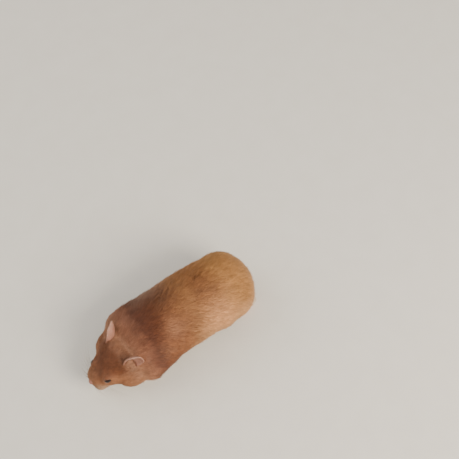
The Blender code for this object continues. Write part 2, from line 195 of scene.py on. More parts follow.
FACE_MIDDLE, FACE_REACH = head_place(4, 0, -3), 17
FEET_TOP = 7 * MM
EAR_ROOM = 1.5 * MM  # the fine grain goes past each ear by this
spots = places(hide.data)
coarse = (near(spots, FACE_MIDDLE) > FACE_REACH) & (spots[:, 2] > FEET_TOP)
for side in ("left", "right"):
    low, high = (np.array(corner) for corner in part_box("ear_" + side))
    coarse &= ~((spots > low - EAR_ROOM) & (spots < high + EAR_ROOM)).all(axis=1)
group = hide.vertex_groups.new(name="coarse")
group.add(np.flatnonzero(coarse).tolist(), 1.0, "REPLACE")
thinning = hide.modifiers.new("thinning", "DECIMATE")
thinning.vertex_group = "coarse"
thinning.ratio = HIDE_TRIANGLES / (2 * len(spots))
applied(hide)
hide.vertex_groups.clear()

# The nose leather and the lids have finer forms still, so the grain there is halved and eased again.
FINE_REACH, EASED_REACH = 5.2 * MM, 6.0 * MM
finer = bmesh.new()
finer.from_mesh(hide.data)
close_to = [Vector(nose), *eyes.values()]
fine = {v for v in finer.verts if min((v.co - centre).length for centre in close_to) < FINE_REACH}
bmesh.ops.subdivide_edges(
    finer, edges=[e for e in finer.edges if e.verts[0] in fine and e.verts[1] in fine], cuts=1
)
bmesh.ops.triangulate(finer, faces=finer.faces)
eased = [v for v in finer.verts if min((v.co - centre).length for centre in close_to) < EASED_REACH]
for _ in range(3):
    bmesh.ops.smooth_vert(finer, verts=eased, factor=EASE, use_axis_x=True, use_axis_y=True, use_axis_z=True)
finer.to_mesh(hide.data)
finer.free()

# Each place of the hide takes its coat from the part of the body that it covers, and the parts' coats
# blend where they meet.
body_points, body_faces, face_owner, offset = [], [], [], 0
for number, name in enumerate(FLESH):
    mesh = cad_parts[name].data
    own, tris = places(mesh), triangles(mesh)
    body_points.append(own)
    body_faces.append(tris + offset)
    face_owner += [number] * len(tris)
    offset += len(own)
parts_tree = BVHTree.FromPolygons(np.vstack(body_points).tolist(), np.vstack(body_faces).tolist())
spots, facing = places(hide.data), places(hide.data, "normal")
owner = np.array([face_owner[parts_tree.find_nearest(spot)[2]] for spot in spots.tolist()])
edges = np.empty(len(hide.data.edges) * 2, np.int32)
hide.data.edges.foreach_get("vertices", edges)
edges = edges.reshape(-1, 2)
degree = np.bincount(edges.ravel(), minlength=len(spots)).astype(float)


def evened(values, rounds, strength=0.6):
    """Values spread over the hide, each drawn towards the mean of its neighbours."""
    values = np.array(values, float)
    table = values.reshape(len(spots), -1)
    for _ in range(rounds):
        for column in range(table.shape[1]):
            one = table[:, column]
            total = np.bincount(edges[:, 0], one[edges[:, 1]], len(spots))
            total += np.bincount(edges[:, 1], one[edges[:, 0]], len(spots))
            table[:, column] = one + strength * (total / degree - one)
    return values


def of(*starts):
    """Which places belong to the parts whose names start so."""
    return np.isin(owner, [k for k, name in enumerate(FLESH) if name.startswith(starts)])


# The coat bridges the creases behind the cheeks and where the limbs meet the trunk. It leaves the face's
# and the ears' own creases open.
BRIDGE_ROUNDS, BRIDGE_MOST = 60, 2.2 * MM
from_ears = np.full(len(spots), 1e9)
for side in ("left", "right"):
    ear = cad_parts["ear_" + side].data
    ear_tree = BVHTree.FromPolygons(places(ear).tolist(), triangles(ear).tolist())
    apart = np.array([ear_tree.find_nearest(spot)[3] for spot in spots.tolist()]) / MM
    from_ears = np.minimum(from_ears, apart)
bridged = evened(spots, BRIDGE_ROUNDS)
rise = np.clip(((bridged - spots) * facing).sum(axis=1), 0, BRIDGE_MOST)
rise *= smoothstep(near(spots, nose), 20, 30) * smoothstep(from_ears, 1.5, 6)
rise[of("forepaw", "hindfoot", "tail")] = 0
spots = spots + facing * evened(rise, 2)[:, None]
hide.data.vertices.foreach_set("co", spots.astype(np.float32).ravel())
hide.data.update()
facing = places(hide.data, "normal")

# The coat's depth and its hairs' length, in millimetres: deepest over the back, thinner below, close on
# the muzzle, and a mere down on the ears, the feet and the tail.
TRUNK_DEPTH, TRUNK_LENGTH = 3.4, 8.0
BELLY_THINNER, BELLY_SHORTER, RUMP_LONGER = 1.0, 2.0, 1.2
FROM_NOSE = (0, 3, 8, 16, 26, 40)  # stations on the head, back from the nose
HEAD_DEPTHS = (0.05, 0.2, 0.5, 0.9, 1.7, 2.7)
HEAD_LENGTHS = (0.8, 1.2, 2.0, 3.0, 4.3, 6.2)
height = spots[:, 2] / MM
from_nose = near(spots, nose)
from_eyes = np.minimum(near(spots, eyes["left"]), near(spots, eyes["right"]))
under = smoothstep(-facing[:, 2], 0.3, 0.8)
depth = np.full(len(spots), TRUNK_DEPTH)
long = np.full(len(spots), TRUNK_LENGTH)
depth -= BELLY_THINNER * under
long -= BELLY_SHORTER * under
long += RUMP_LONGER * smoothstep(-spots[:, 0] / MM, 35, 60) * (1 - under)
head_part = of("head", "nose")
depth[head_part] = np.interp(from_nose[head_part], FROM_NOSE, HEAD_DEPTHS)
long[head_part] = np.interp(from_nose[head_part], FROM_NOSE, HEAD_LENGTHS)
for leg, heights, depths, lengths in (
    (of("foreleg"), (6, 10, 20), (0.35, 0.7, 2.0), (1.6, 2.6, 5.5)),
    (of("hindleg"), (6, 10, 22), (0.4, 1.0, 2.8), (1.8, 3.2, 7.0)),
):
    depth[leg] = np.interp(height[leg], heights, depths)
    long[leg] = np.interp(height[leg], heights, lengths)
for covered, part_depth, part_length in (
    (of("neck"), 3.0, 7.0), (of("forepaw", "hindfoot"), 0.1, 1.1), (of("tail"), 0.15, 1.3),
    (of("ear"), 0.05, 0.9),
):
    depth[covered], long[covered] = part_depth, part_length
depth, long = evened(depth, 6), evened(long, 6)
by_eye = smoothstep(from_eyes, 3.4, 8.5)
by_ear = np.where(of("ear"), 1.0, smoothstep(from_ears, 0.4, 6))
for nearby, least_depth, least_length in ((by_eye, 0.1, 0.28), (by_ear, 0.3, 0.35)):
    depth *= least_depth + (1 - least_depth) * nearby
    long *= least_length + (1 - least_length) * nearby

# Where the hair is ivory: below, inside the legs and down to the feet, and at the ears' tips.
pale = smoothstep(-facing[:, 2], 0.1, 0.6)
for side, name in ((1, "left"), (-1, "right")):
    inner = smoothstep(-facing[:, 1] * side, 0.1, 0.7)
    for leg, low, high in ((of("foreleg_" + name), 6.5, 11.5), (of("hindleg_" + name), 9.0, 16.5)):
        pale[leg] = np.maximum(inner, 1 - smoothstep(height, low, high))[leg]
pale[of("forepaw", "hindfoot", "tail")] = 1.0
EAR_TIPS_PALE = 0.7
ears = of("ear")
above_head = (spots - np.array(head_middle)) @ np.array(head_up) / MM
pale[ears] = EAR_TIPS_PALE * smoothstep(above_head[ears], 12, 18)
pale *= smoothstep(from_eyes, 3.8, 6.5)  # the eye sockets keep the face's own colour
pale = evened(pale, 5)

# The lie of the hair: out from the tip of the nose, then back along the body, down over the rump and the
# legs, forward on the feet, and up the ears.
TRUNK_LIE, RUMP_FALL = (-1.0, 0.0, -0.32), 1.1
lie = np.tile(TRUNK_LIE, (len(spots), 1))
lie[:, 2] -= RUMP_FALL * smoothstep(-spots[:, 0] / MM, 42, 66)
radiating = spots - np.array(head_place(15, 0, -1))
radiating /= np.linalg.norm(radiating, axis=1)[:, None]
on_head = (1 - smoothstep(from_nose, 26, 46)) * of("head", "nose", "neck")
lie = lie * (1 - on_head[:, None]) + radiating * on_head[:, None]
lie[of("foreleg")] = (-0.35, 0.0, -1.0)
lie[of("hindleg")] = (-0.75, 0.0, -0.7)
lie[of("forepaw", "hindfoot")] = (1.0, 0.0, -0.35)
EAR_STEM_BACK, EAR_REACH = 2 * MM, 10 * MM
for side in ("left", "right"):
    low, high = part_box("ear_" + side)
    stem = Vector(((low.x + high.x) / 2 - EAR_STEM_BACK, (low.y + high.y) / 2, low.z))
    mine = of("ear_" + side)
    lie[mine] = (spots[mine] - np.array(stem)) / EAR_REACH


def laid(vectors, normals):
    """The vectors pressed flat on the surface, each of length one."""
    flat = vectors - normals * (vectors * normals).sum(axis=1)[:, None]
    return flat / np.maximum(np.linalg.norm(flat, axis=1), 1e-9)[:, None]


for _ in range(5):
    lie = laid(evened(laid(lie, facing), 3), facing)
join = np.where(of("ear"), EAR_JOIN, JOIN)
seat = spots - facing * (depth * MM + join)[:, None]

# The eyelids: a thin dark rim that hugs each eyeball. The upper one hangs over it a little more.
EYE_RADIUS = 3.05 * MM
EYES_FORWARD, EYES_UPWARD = 0.35, 0.3  # how far each eye turns ahead and up from straight sideways
LID_REACH = 2.4 * MM
LID_OVER, LID_UNDER = 0.28 * MM, 0.25 * MM  # the rim over the ball, and the socket's wall inside it
LID_HUG, LID_HUG_ABOVE, LID_HANG = 0.10, 0.13, 0.30
eye_aims = {
    side: (head_left * sign + head_ahead * EYES_FORWARD + head_up * EYES_UPWARD).normalized()
    for side, sign in (("left", 1), ("right", -1))
}
lid_rim = np.zeros(len(spots))
for side, centre in eyes.items():
    aim = np.array(eye_aims[side])
    away = seat - np.array(centre)
    reach = np.linalg.norm(away, axis=1)
    outward = away / np.maximum(reach, 1e-9)[:, None]
    close = reach < EYE_RADIUS + LID_REACH
    open_side = smoothstep((facing * outward).sum(axis=1), -0.35, 0.45)
    edge = 1 - smoothstep((reach - EYE_RADIUS) / MM, 0.3, 1.9)
    lid_rim = np.maximum(lid_rim, 1 - smoothstep((reach - EYE_RADIUS) / MM, 0.32, 0.52))
    above = np.clip(outward @ np.array(head_up), -0.4, 1)
    hug = edge * (LID_HUG + LID_HUG_ABOVE * above) * (1 - smoothstep(outward @ aim, 0.86, 0.97))
    hang = edge * np.maximum(above, 0) * LID_HANG
    closed = outward + aim * hug[:, None] - np.array(head_up) * hang[:, None]
    closed /= np.linalg.norm(closed, axis=1)[:, None]
    lid = np.maximum(reach, EYE_RADIUS + LID_OVER)
    inside = np.full(len(reach), EYE_RADIUS - LID_UNDER)
    settled = lid * open_side + inside * (1 - open_side)
    seat[close] = np.array(centre) + closed[close] * settled[close, None]

# The nostrils are two commas in the nose leather, the lip is split below it, and the mouth's line runs
# back under each whisker pad.
NOSTRIL = (  # three dents: each one's place to the side and up, half width and depth, in millimetres
    (1.15, -3.1, 0.42, 0.75), (1.55, -2.75, 0.36, 0.6), (1.95, -2.55, 0.30, 0.4),
)
NOSE_FRONT = 9.3
CLEFT_HALF, CLEFT_SUNK = 0.36, 0.5
MOUTH_HALF, MOUTH_SUNK = 0.5, 0.6
groove = np.zeros(len(spots))
on_face = (seat - np.array(head_middle)) / MM
across_face, up_face = on_face @ np.array(head_left), on_face @ np.array(head_up)
in_front = (on_face @ np.array(head_ahead) > NOSE_FRONT).astype(float)
for side in (1, -1):
    for left, up, half, sunk in NOSTRIL:
        apart = np.hypot(across_face - left * side, up_face - up)
        groove = np.maximum(groove, sunk * np.exp(-(apart / half) ** 2) * in_front)


def nearest_on(points, line):
    """How far, in millimetres, each point is from a bent line."""
    found = np.full(len(points), 1e9)
    for a, b in zip(line, line[1:]):
        a, b = np.array(a), np.array(b)
        share = np.clip(((points - a) @ (b - a)) / ((b - a) @ (b - a)), 0, 1)
        apart = np.linalg.norm(points - a - share[:, None] * (b - a), axis=1)
        found = np.minimum(found, apart / MM)
    return found


face_tree = BVHTree.FromPolygons(seat.tolist(), triangles(hide.data).tolist())


def on_the_face(line):
    """A line given by its places on the head, brought onto the surface."""
    return [face_tree.find_nearest(head_place(*stop))[0] for stop in line]


lip_line = on_the_face(((12.2, 0, -3.2), (12.0, 0, -4.6), (11.2, 0, -6.2), (10.8, 0, -7.6)))
cleft = nearest_on(seat, lip_line)
groove = np.maximum(groove, CLEFT_SUNK * np.exp(-(cleft / CLEFT_HALF) ** 2))
for side in (1, -1):
    mouth = on_the_face((
        (10.8, 0, -7.6), (10.2, 1.7 * side, -8.6), (8.8, 3.4 * side, -9.3), (6.6, 5.0 * side, -9.6),
        (4.0, 6.4 * side, -9.4),
    ))
    groove = np.maximum(groove, MOUTH_SUNK * np.exp(-(nearest_on(seat, mouth) / MOUTH_HALF) ** 2))
seat -= facing * (groove * MM)[:, None]
hide.data.vertices.foreach_set("co", seat.astype(np.float32).ravel())
hide.data.update()
hide.data.shade_smooth()
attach(hide, "root")
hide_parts(*FLESH)


def mark(obj, name, values, kind="FLOAT"):
    """Writes one value, or one vector, on each point of a piece for its material to read."""
    layer = obj.data.attributes.new(name, kind, "POINT")
    layer.data.foreach_set("value" if kind == "FLOAT" else "vector", np.asarray(values, np.float32).ravel())


mark(hide, "ear", evened(of("ear").astype(float), 2))
mark(hide, "foot", evened(of("forepaw", "hindfoot", "tail").astype(float), 3))
mark(hide, "muzzle", 1 - smoothstep(near(seat, nose), 2.0, 2.8))
# painted shade for the creases of the nostrils, the lip's cleft and the mouth's line
mark(hide, "fold", np.clip(groove * 1.6, 0, 1))
mark(hide, "lid", lid_rim)
mark(hide, "place", seat, "FLOAT_VECTOR")
mark(hide, "pale", pale)


def linear(colour):
    """The linear colour of an sRGB hex value."""
    parts = [int(colour[k:k + 2], 16) / 255 for k in (1, 3, 5)]
    return (*(c / 12.92 if c <= 0.04045 else ((c + 0.055) / 1.055) ** 2.4 for c in parts), 1.0)


def add(tree, kind, **settings):
    """Adds a node with its settings. What starts with in_ is a value or a link for the input that it names
    or counts to."""
    node = tree.nodes.new("ShaderNode" + kind)
    for key, value in settings.items():
        if key.startswith("in_"):
            which = key[3:]
            socket = node.inputs[int(which) if which.isdigit() else which.replace("_", " ")]
            if isinstance(value, bpy.types.NodeSocket):
                tree.links.new(value, socket)
            else:
                socket.default_value = value
        else:
            setattr(node, key, value)
    return node


# The golden hamster's markings, laid out by place on the body, in millimetres: warm gold on the rump and
# the flanks, brown over the loins, umber on the nape, slate on the right shoulder, ivory below. Painted light
# is laid in with them: painted shade darkens the face, the nape's umber is partly painted shade where the
# head meets the shoulders and partly the dark undercoat, the pale crown between the ears is partly a painted
# sheen, and painted highlights brighten the left flank and shoulder, which face the key lamp. The colours
# drift by some millimetres from their places, in waves about 11 mm long, as they do on a living coat.
HALF_LENGTH = 71.4
DRIFT_ALONG, DRIFT_UP = 7.0, 9.0
markings_and_light = bpy.data.node_groups.new("golden_markings_and_painted_light", "ShaderNodeTree")
markings_and_light.interface.new_socket("Place", in_out="INPUT", socket_type="NodeSocketVector")
markings_and_light.interface.new_socket("Pale", in_out="INPUT", socket_type="NodeSocketFloat")
markings_and_light.interface.new_socket("Colour", in_out="OUTPUT", socket_type="NodeSocketColor")
start = markings_and_light.nodes.new("NodeGroupInput")
end = markings_and_light.nodes.new("NodeGroupOutput")
in_mm = add(markings_and_light, "VectorMath", operation="SCALE", in_0=start.outputs["Place"], in_Scale=1000.0)
axes = add(markings_and_light, "SeparateXYZ", in_0=in_mm.outputs[0])
ALONG, ACROSS, UP = axes.outputs[0], axes.outputs[1], axes.outputs[2]
broad = add(markings_and_light, "TexNoise", in_Vector=in_mm.outputs[0], in_Scale=0.09, in_Detail=3.0)
drift = add(markings_and_light, "MapRange", in_Value=broad.outputs[0], in_3=-DRIFT_ALONG, in_4=DRIFT_ALONG)
shifted = add(markings_and_light, "Math", operation="ADD", in_0=ALONG, in_1=drift.outputs[0])
ramp_place = add(markings_and_light, "MapRange", in_Value=shifted.outputs[0], in_1=-HALF_LENGTH, in_2=HALF_LENGTH)
# Painted shade darkens the face's stops, from 50 mm to the nose. The nape's stops at 14 and 25 mm are partly
# painted shade where the head meets the shoulders and partly the dark undercoat. The paler crown at 34 and 42
# mm is partly a painted sheen and partly the grey undercoat showing.
BACK_COLOURS = (  # along the back, from the rump to the nose
    (-71, "#b4814c"), (-56, "#cf9658"), (-38, "#cc9254"), (-24, "#bb7f4b"), (-10, "#b17a49"),
    (3, "#a36a40"), (14, "#7f4827"), (25, "#76442c"), (34, "#b67d5e"), (42, "#bb896a"),
    (50, "#8b5535"), (60, "#7f4d31"), (71, "#8a5e46"),
)
back = add(markings_and_light, "ValToRGB", in_0=ramp_place.outputs[0])
while len(back.color_ramp.elements) < len(BACK_COLOURS):
    back.color_ramp.elements.new(0.5)
for stop, (along, colour) in zip(back.color_ramp.elements, BACK_COLOURS):
    stop.position = (along + HALF_LENGTH) / (2 * HALF_LENGTH)
for stop, (along, colour) in zip(back.color_ramp.elements, BACK_COLOURS):
    stop.color = linear(colour)


def zone(below, share, colour):
    """Lays a colour over the colours below it, by a share from 0 to 1."""
    layer = add(markings_and_light, "Mix", data_type="RGBA", in_0=share, in_7=linear(colour), in_6=below)
    return layer.outputs[2]


def band(value, low, high, most=1.0):
    """A share that grows from 0 at low to the most at high."""
    node = add(
        markings_and_light, "MapRange", interpolation_type="SMOOTHSTEP", in_Value=value, in_1=low, in_2=high, in_4=most
    )
    return node.outputs[0]


def both(one, other):
    """The product of two shares."""
    return add(markings_and_light, "Math", operation="MULTIPLY", in_0=one, in_1=other).outputs[0]


def patch(centre, inner, outer, most=1.0):
    """A share that is the most near a place and 0 beyond its outer radius."""
    apart = add(markings_and_light, "VectorMath", operation="DISTANCE", in_0=in_mm.outputs[0], in_1=centre)
    node = add(
        markings_and_light, "MapRange", interpolation_type="SMOOTHSTEP", in_Value=apart.outputs["Value"],
        in_1=inner, in_2=outer, in_3=most, in_4=0.0,
    )
    return node.outputs[0]


height_drift = add(markings_and_light, "Math", operation="MULTIPLY_ADD", in_0=broad.outputs[0], in_1=DRIFT_UP, in_2=UP)
level = add(markings_and_light, "Math", operation="SUBTRACT", in_0=height_drift.outputs[0], in_1=DRIFT_UP / 2)
LEVEL = level.outputs[0]
side_of = add(markings_and_light, "Math", operation="ABSOLUTE", in_0=ACROSS).outputs[0]
colour = back.outputs[0]
flank = both(band(LEVEL, 44, 30, 0.65), band(shifted.outputs[0], 6, -14))
colour = zone(colour, flank, "#e0ad7e")
on_loins = both(band(shifted.outputs[0], -38, -27), band(shifted.outputs[0], -11, -20))
saddle = both(band(side_of, 13, 4, 0.5), on_loins)
colour = zone(colour, saddle, "#8a5730")
for centre, inner, outer, most, tint in (
    ((-24, 23, 38), 4.0, 21.0, 0.72, "#f6b57c"),  # painted highlight on the left flank, which faces the key lamp
    ((13, 21, 38), 2.0, 16.0, 0.5, "#bb7d50"),  # painted light on the left shoulder, which faces the key lamp
    ((9, 11, 47), 2.0, 11.0, 0.55, "#c98e66"),  # and a painted highlight from it up to the spine
    ((5, -9, 50), 2.0, 13.0, 0.5, "#5a3620"),  # and the dark mark beside the nape: partly painted shade where the head meets the shoulders, partly the dark undercoat
):
    colour = zone(colour, patch(centre, inner, outer, most), tint)
on_shoulders = both(band(shifted.outputs[0], -14, 8), band(shifted.outputs[0], 30, 14))
slate = both(band(ACROSS, -7, -22, 0.6), on_shoulders)
colour = zone(colour, slate, "#b39480")
cheek = both(band(LEVEL, 30, 22, 0.7), band(ALONG, 34, 44))
colour = zone(colour, cheek, "#b97f58")
flash = both(band(LEVEL, 30, 20, 0.6), both(band(ALONG, 22, 27), band(ALONG, 36, 30)))
colour = zone(colour, flash, "#5d3b27")
for side in (1, -1):
    pad = head_place(7.6, 5.6 * side, -6.2) / MM
    colour = zone(colour, patch(pad, 2.0, 7.0, 0.8), "#dcb896")
colour = zone(colour, start.outputs["Pale"], "#efe0c8")
# Soft streaks of lighter and darker hair, about 8 mm long and 2 mm wide.
STREAK_DARK, STREAK_LIGHT = 0.77, 1.19
drawn_out = add(markings_and_light, "Mapping", in_Vector=in_mm.outputs[0], in_Scale=(0.22, 0.9, 0.9))
streaks = add(
    markings_and_light, "TexNoise", in_Vector=drawn_out.outputs[0], in_Scale=0.55, in_Detail=4.0, in_Roughness=0.6
)
streak_light = add(
    markings_and_light, "MapRange", in_Value=streaks.outputs[0], in_1=0.3, in_2=0.7, in_3=STREAK_DARK, in_4=STREAK_LIGHT
)
toned = add(markings_and_light, "VectorMath", operation="SCALE", in_0=colour, in_Scale=streak_light.outputs[0])
markings_and_light.links.new(toned.outputs[0], end.inputs[0])


def finish_of(name, roughness, **sockets):
    """A new material with one shader, and its constants set on the shader's own sockets."""
    material = bpy.data.materials.new(name)
    material.use_nodes = True
    shader = material.node_tree.nodes["Principled BSDF"]
    shader.inputs["Roughness"].default_value = roughness
    for key, value in sockets.items():
        shader.inputs[key.replace("_", " ")].default_value = value
    return material, material.node_tree, shader


# Living hide: soft and matt under the coat; flesh pink, thin and faintly waxy where it is bare. Light goes
# a millimetre or so into it, red the furthest.
SKIN_DEPTH = 1.2 * MM
SKIN_SHADE = 0.92  # painted shade: the skin under the coat is a little darker than its hair, as it lies in the coat's shade
PORE_SPACING, PORE_DEPTH = 0.33 * MM, 0.06 * MM
hide_finish, tree, shader = finish_of("living_hide", 0.55, IOR=1.4, Subsurface_Weight=0.12)
shader.inputs["Subsurface Radius"].default_value = (1.0, 0.35, 0.2)
shader.inputs["Subsurface Scale"].default_value = SKIN_DEPTH
place = add(tree, "Attribute", attribute_name="place")
shares = {
    name: add(tree, "Attribute", attribute_name=name).outputs["Fac"]
    for name in ("ear", "foot", "muzzle", "fold", "lid")
}
coat_colour = tree.nodes.new("ShaderNodeGroup")
coat_colour.node_tree = markings_and_light
tree.links.new(place.outputs["Vector"], coat_colour.inputs[0])
tree.links.new(add(tree, "Attribute", attribute_name="pale").outputs["Fac"], coat_colour.inputs[1])
shaded = add(tree, "VectorMath", operation="SCALE", in_0=coat_colour.outputs[0], in_Scale=SKIN_SHADE)
skin_grain = add(  # calm and flushed skin in flecks about 2.4 mm apart
    tree, "TexNoise", in_Vector=place.outputs["Vector"], in_Scale=420.0, in_Detail=3.0
)
below = shaded.outputs[0]
for name, calm, flushed in (
    ("ear", "#bf8d7a", "#996450"), ("foot", "#e8b9a8", "#d08f80"), ("muzzle", "#b27d69", "#8f5d4d"),
):
    flesh = add(
        tree, "Mix", data_type="RGBA", in_0=skin_grain.outputs[0], in_6=linear(calm), in_7=linear(flushed)
    )
    layer = add(tree, "Mix", data_type="RGBA", in_0=shares[name], in_6=below, in_7=flesh.outputs[2])
    below = layer.outputs[2]
# The lids' rims are dark. The creases of the nostrils, the lip's cleft and the mouth's line get painted
# shade.
for name, colour in (("lid", "#54382a"), ("fold", "#7d4a3e")):
    layer = add(tree, "Mix", data_type="RGBA", in_0=shares[name], in_6=below, in_7=linear(colour))
    below = layer.outputs[2]
tree.links.new(below, shader.inputs["Base Color"])
pores = add(tree, "TexVoronoi", in_Vector=place.outputs["Vector"], in_Scale=1 / PORE_SPACING)
dents = add(tree, "Bump", in_Strength=0.35, in_Distance=PORE_DEPTH, in_Height=pores.outputs["Distance"])
tree.links.new(dents.outputs[0], shader.inputs["Normal"])
hide.data.materials.clear()
hide.data.materials.append(hide_finish)

# ---- The eyes. Black beads that stand proud of the lids: a clear, wet cornea over a dark brown iris
# that can hardly be told from its pupil. Each sits loose in its socket.
CORNEA_BULGE, CORNEA_EDGE = 0.025, 0.6
# Wet cornea: as smooth as glass and always wet, so it gives a small hard glint on black. The iris's rays
# show brown only round the rim.
eye_finish, tree, shader = finish_of("wet_cornea", 0.03, IOR=1.38)
toward = add(tree, "Attribute", attribute_name="toward")
iris = add(tree, "ValToRGB", in_0=toward.outputs["Fac"])
iris.color_ramp.elements[0].position, iris.color_ramp.elements[0].color = 0.55, linear("#1c0d07")
iris.color_ramp.elements[1].position, iris.color_ramp.elements[1].color = 0.86, linear("#070403")
rays = add(  # about 1.1 mm apart
    tree, "TexNoise", in_Vector=add(tree, "TexCoord").outputs["Object"], in_Scale=900.0, in_Detail=2.0
)
mixed = add(
    tree, "Mix", data_type="RGBA", in_0=rays.outputs[0], in_6=iris.outputs[0], in_7=linear("#2a140a")
)
tree.links.new(mixed.outputs[2], shader.inputs["Base Color"])
for side, centre in eyes.items():
    aim = eye_aims[side]
    ball = bmesh.new()
    bmesh.ops.create_uvsphere(ball, u_segments=48, v_segments=28, radius=EYE_RADIUS)
    for vert in ball.verts:
        ahead = vert.co.z / EYE_RADIUS
        vert.co *= 1 + CORNEA_BULGE * max(0.0, ahead - CORNEA_EDGE) / (1 - CORNEA_EDGE)
    turn = aim.to_track_quat("Z", "Y").to_matrix().to_4x4()
    bmesh.ops.transform(ball, matrix=Matrix.Translation(centre) @ turn, verts=ball.verts)
    eye_mesh = bpy.data.meshes.new("eyeball_" + side)
    ball.to_mesh(eye_mesh)
    ball.free()
    eyeball = shown("eyeball_" + side, eye_mesh)
    eye_mesh.shade_smooth()
    points = places(eye_mesh) - np.array(centre)
    mark(eyeball, "toward", (points @ np.array(aim)) / np.linalg.norm(points, axis=1))
    eye_mesh.materials.append(eye_finish)
    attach(eyeball, "root")
    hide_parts("eye_" + side)

# ---- The coat. Soft, sleek hair of medium length, which lies back from the nose over the whole body.
# Each tuft is a few hairs that lie together, rooted in the hide, and bent along it to a fine tip.
rng = np.random.default_rng(11)
hide_tris = triangles(hide.data)
seat = places(hide.data)
facing = places(hide.data, "normal")
hide_tree = BVHTree.FromPolygons(seat.tolist(), hide_tris.tolist())

# The hide laid out flat: its islands give each root its own place on the coat's colour map.
bpy.context.view_layer.objects.active = hide
hide.select_set(True)
hide.data.uv_layers.new(name="OFBake")
bpy.ops.object.mode_set(mode="EDIT")
bpy.ops.mesh.select_all(action="SELECT")
bpy.ops.uv.smart_project(angle_limit=1.15, island_margin=0.002, scale_to_bounds=True)
bpy.ops.object.mode_set(mode="OBJECT")
loop_uv = np.empty(len(hide.data.loops) * 2, np.float32)
hide.data.uv_layers["OFBake"].uv.foreach_get("vector", loop_uv)
loop_uv = loop_uv.reshape(-1, 2)
hide.data.calc_loop_triangles()
tri_loops = np.empty(len(hide.data.loop_triangles) * 3, np.int32)
hide.data.loop_triangles.foreach_get("loops", tri_loops)
tri_loops = tri_loops.reshape(-1, 3)

a, b, c = (seat[hide_tris[:, k]] for k in range(3))
tri_area = np.linalg.norm(np.cross(b - a, c - a), axis=1) / 2 / MM**2

# No hair grows on the nose leather, the lids' rims, the lips' creases, the soles and the toes' pads.
SOLE_HEIGHT = 1.6 * MM
bare = 1 - smoothstep(near(seat, nose), 1.9, 2.7)
bare = np.maximum(bare, lid_rim)
bare = np.maximum(bare, np.clip(groove * 2.5, 0, 1))
bare = np.maximum(bare, of("forepaw", "hindfoot") * smoothstep(-facing[:, 2], -0.2, 0.3))
bare = np.maximum(bare, seat[:, 2] < SOLE_HEIGHT)

# Tufts on each square millimetre, and a tuft's width in millimetres: close and fine on the face, looser
# and broader over the back, and thinned on the belly, which is hardly seen.
dense = np.full(len(seat), 6.4)
wide = np.full(len(seat), 0.34)
for covered, ruler, stations, densities, widths in (
    (head_part, from_nose, (4, 16, 30), (22.0, 14.0, 8.5), (0.13, 0.20, 0.30)),
    (of("foreleg", "hindleg"), height, (6, 20), (11.0, 6.0), (0.18, 0.33)),
):
    dense[covered] = np.interp(ruler[covered], stations, densities)
    wide[covered] = np.interp(ruler[covered], stations, widths)
for covered, density, breadth in ((of("forepaw", "hindfoot", "tail"), 5.0, 0.11), (of("ear"), 5.0, 0.07)):
    dense[covered], wide[covered] = density, breadth
CLOSER_BY_EAR, FINER_BY_EAR, THINNER_BELOW = 1.6, 0.45, 0.35
dense *= 1 + CLOSER_BY_EAR * (1 - by_ear)
wide *= 1 - FINER_BY_EAR * (1 - by_ear)
dense, wide = evened(dense, 3), evened(wide, 3)
dense *= 1 - THINNER_BELOW * under
dense *= 1 - bare

WAVES = 7
STEEPNESS, TALLEST = 1.7, 3.2  # a random vector's usual length, and what the waves seldom add up to


def wavering(points, size, seed):
    """A smooth random number from -1 to 1 at each point, with waves of about this size."""
    draw = np.random.default_rng(seed)
    waves = draw.normal(size=(WAVES, 3)) * (2 * math.pi / size / STEEPNESS)
    turns = draw.uniform(0, 2 * math.pi, WAVES)
    return np.clip(np.sin(points @ waves.T + turns).sum(axis=1) / TALLEST, -1, 1)


expected = tri_area * dense[hide_tris].mean(axis=1)
count = int(expected.sum())
picked = rng.choice(len(hide_tris), count, p=expected / expected.sum())
one, two = rng.random(count), rng.random(count)
fold_over = one + two > 1
one[fold_over], two[fold_over] = 1 - one[fold_over], 1 - two[fold_over]
weights = np.stack([1 - one - two, one, two], axis=1)


def at_roots(values):
    """A value of the hide, read at each root."""
    taken = values[hide_tris[picked]]
    if taken.ndim == 3:
        return (taken * weights[:, :, None]).sum(axis=1)
    return (taken * weights).sum(axis=1)


# No two tufts are alike: their length, rise and width vary, and each leans a little with its lock and with
# the finer wisp that it is part of.
LENGTH_SPREAD, RISE_SPREAD, WIDTH_SPREAD = (0.72, 1.22), (0.55, 1.12), (0.75, 1.25)
LEAST_RISE = 0.12
LOCK, WISP, RIPPLE = 7 * MM, 2.2 * MM, 3.5 * MM
LOCK_SWING, WISP_SWING, STRAY_SWING, RIPPLE_RISE = 0.16, 0.10, 0.09, 0.16
root = at_roots(seat)
normal = at_roots(facing)
normal /= np.linalg.norm(normal, axis=1)[:, None]
flow = laid(at_roots(lie), normal)
hair_length = at_roots(long) * rng.uniform(*LENGTH_SPREAD, count)
stand = (at_roots(depth) + LEAST_RISE) * rng.uniform(*RISE_SPREAD, count)
width = at_roots(wide) * rng.uniform(*WIDTH_SPREAD, count)
swing = wavering(root, LOCK, 3) * LOCK_SWING + wavering(root, WISP, 4) * WISP_SWING
swing += rng.normal(0, STRAY_SWING, count)
flow = laid(flow + np.cross(normal, flow) * swing[:, None], normal)
stand *= 1 + RIPPLE_RISE * wavering(root, RIPPLE, 5)
root_uv = (loop_uv[tri_loops[picked]] * weights[:, :, None]).sum(axis=1)
owner_at = owner[hide_tris[picked, 0]]
pale_at = at_roots(pale)


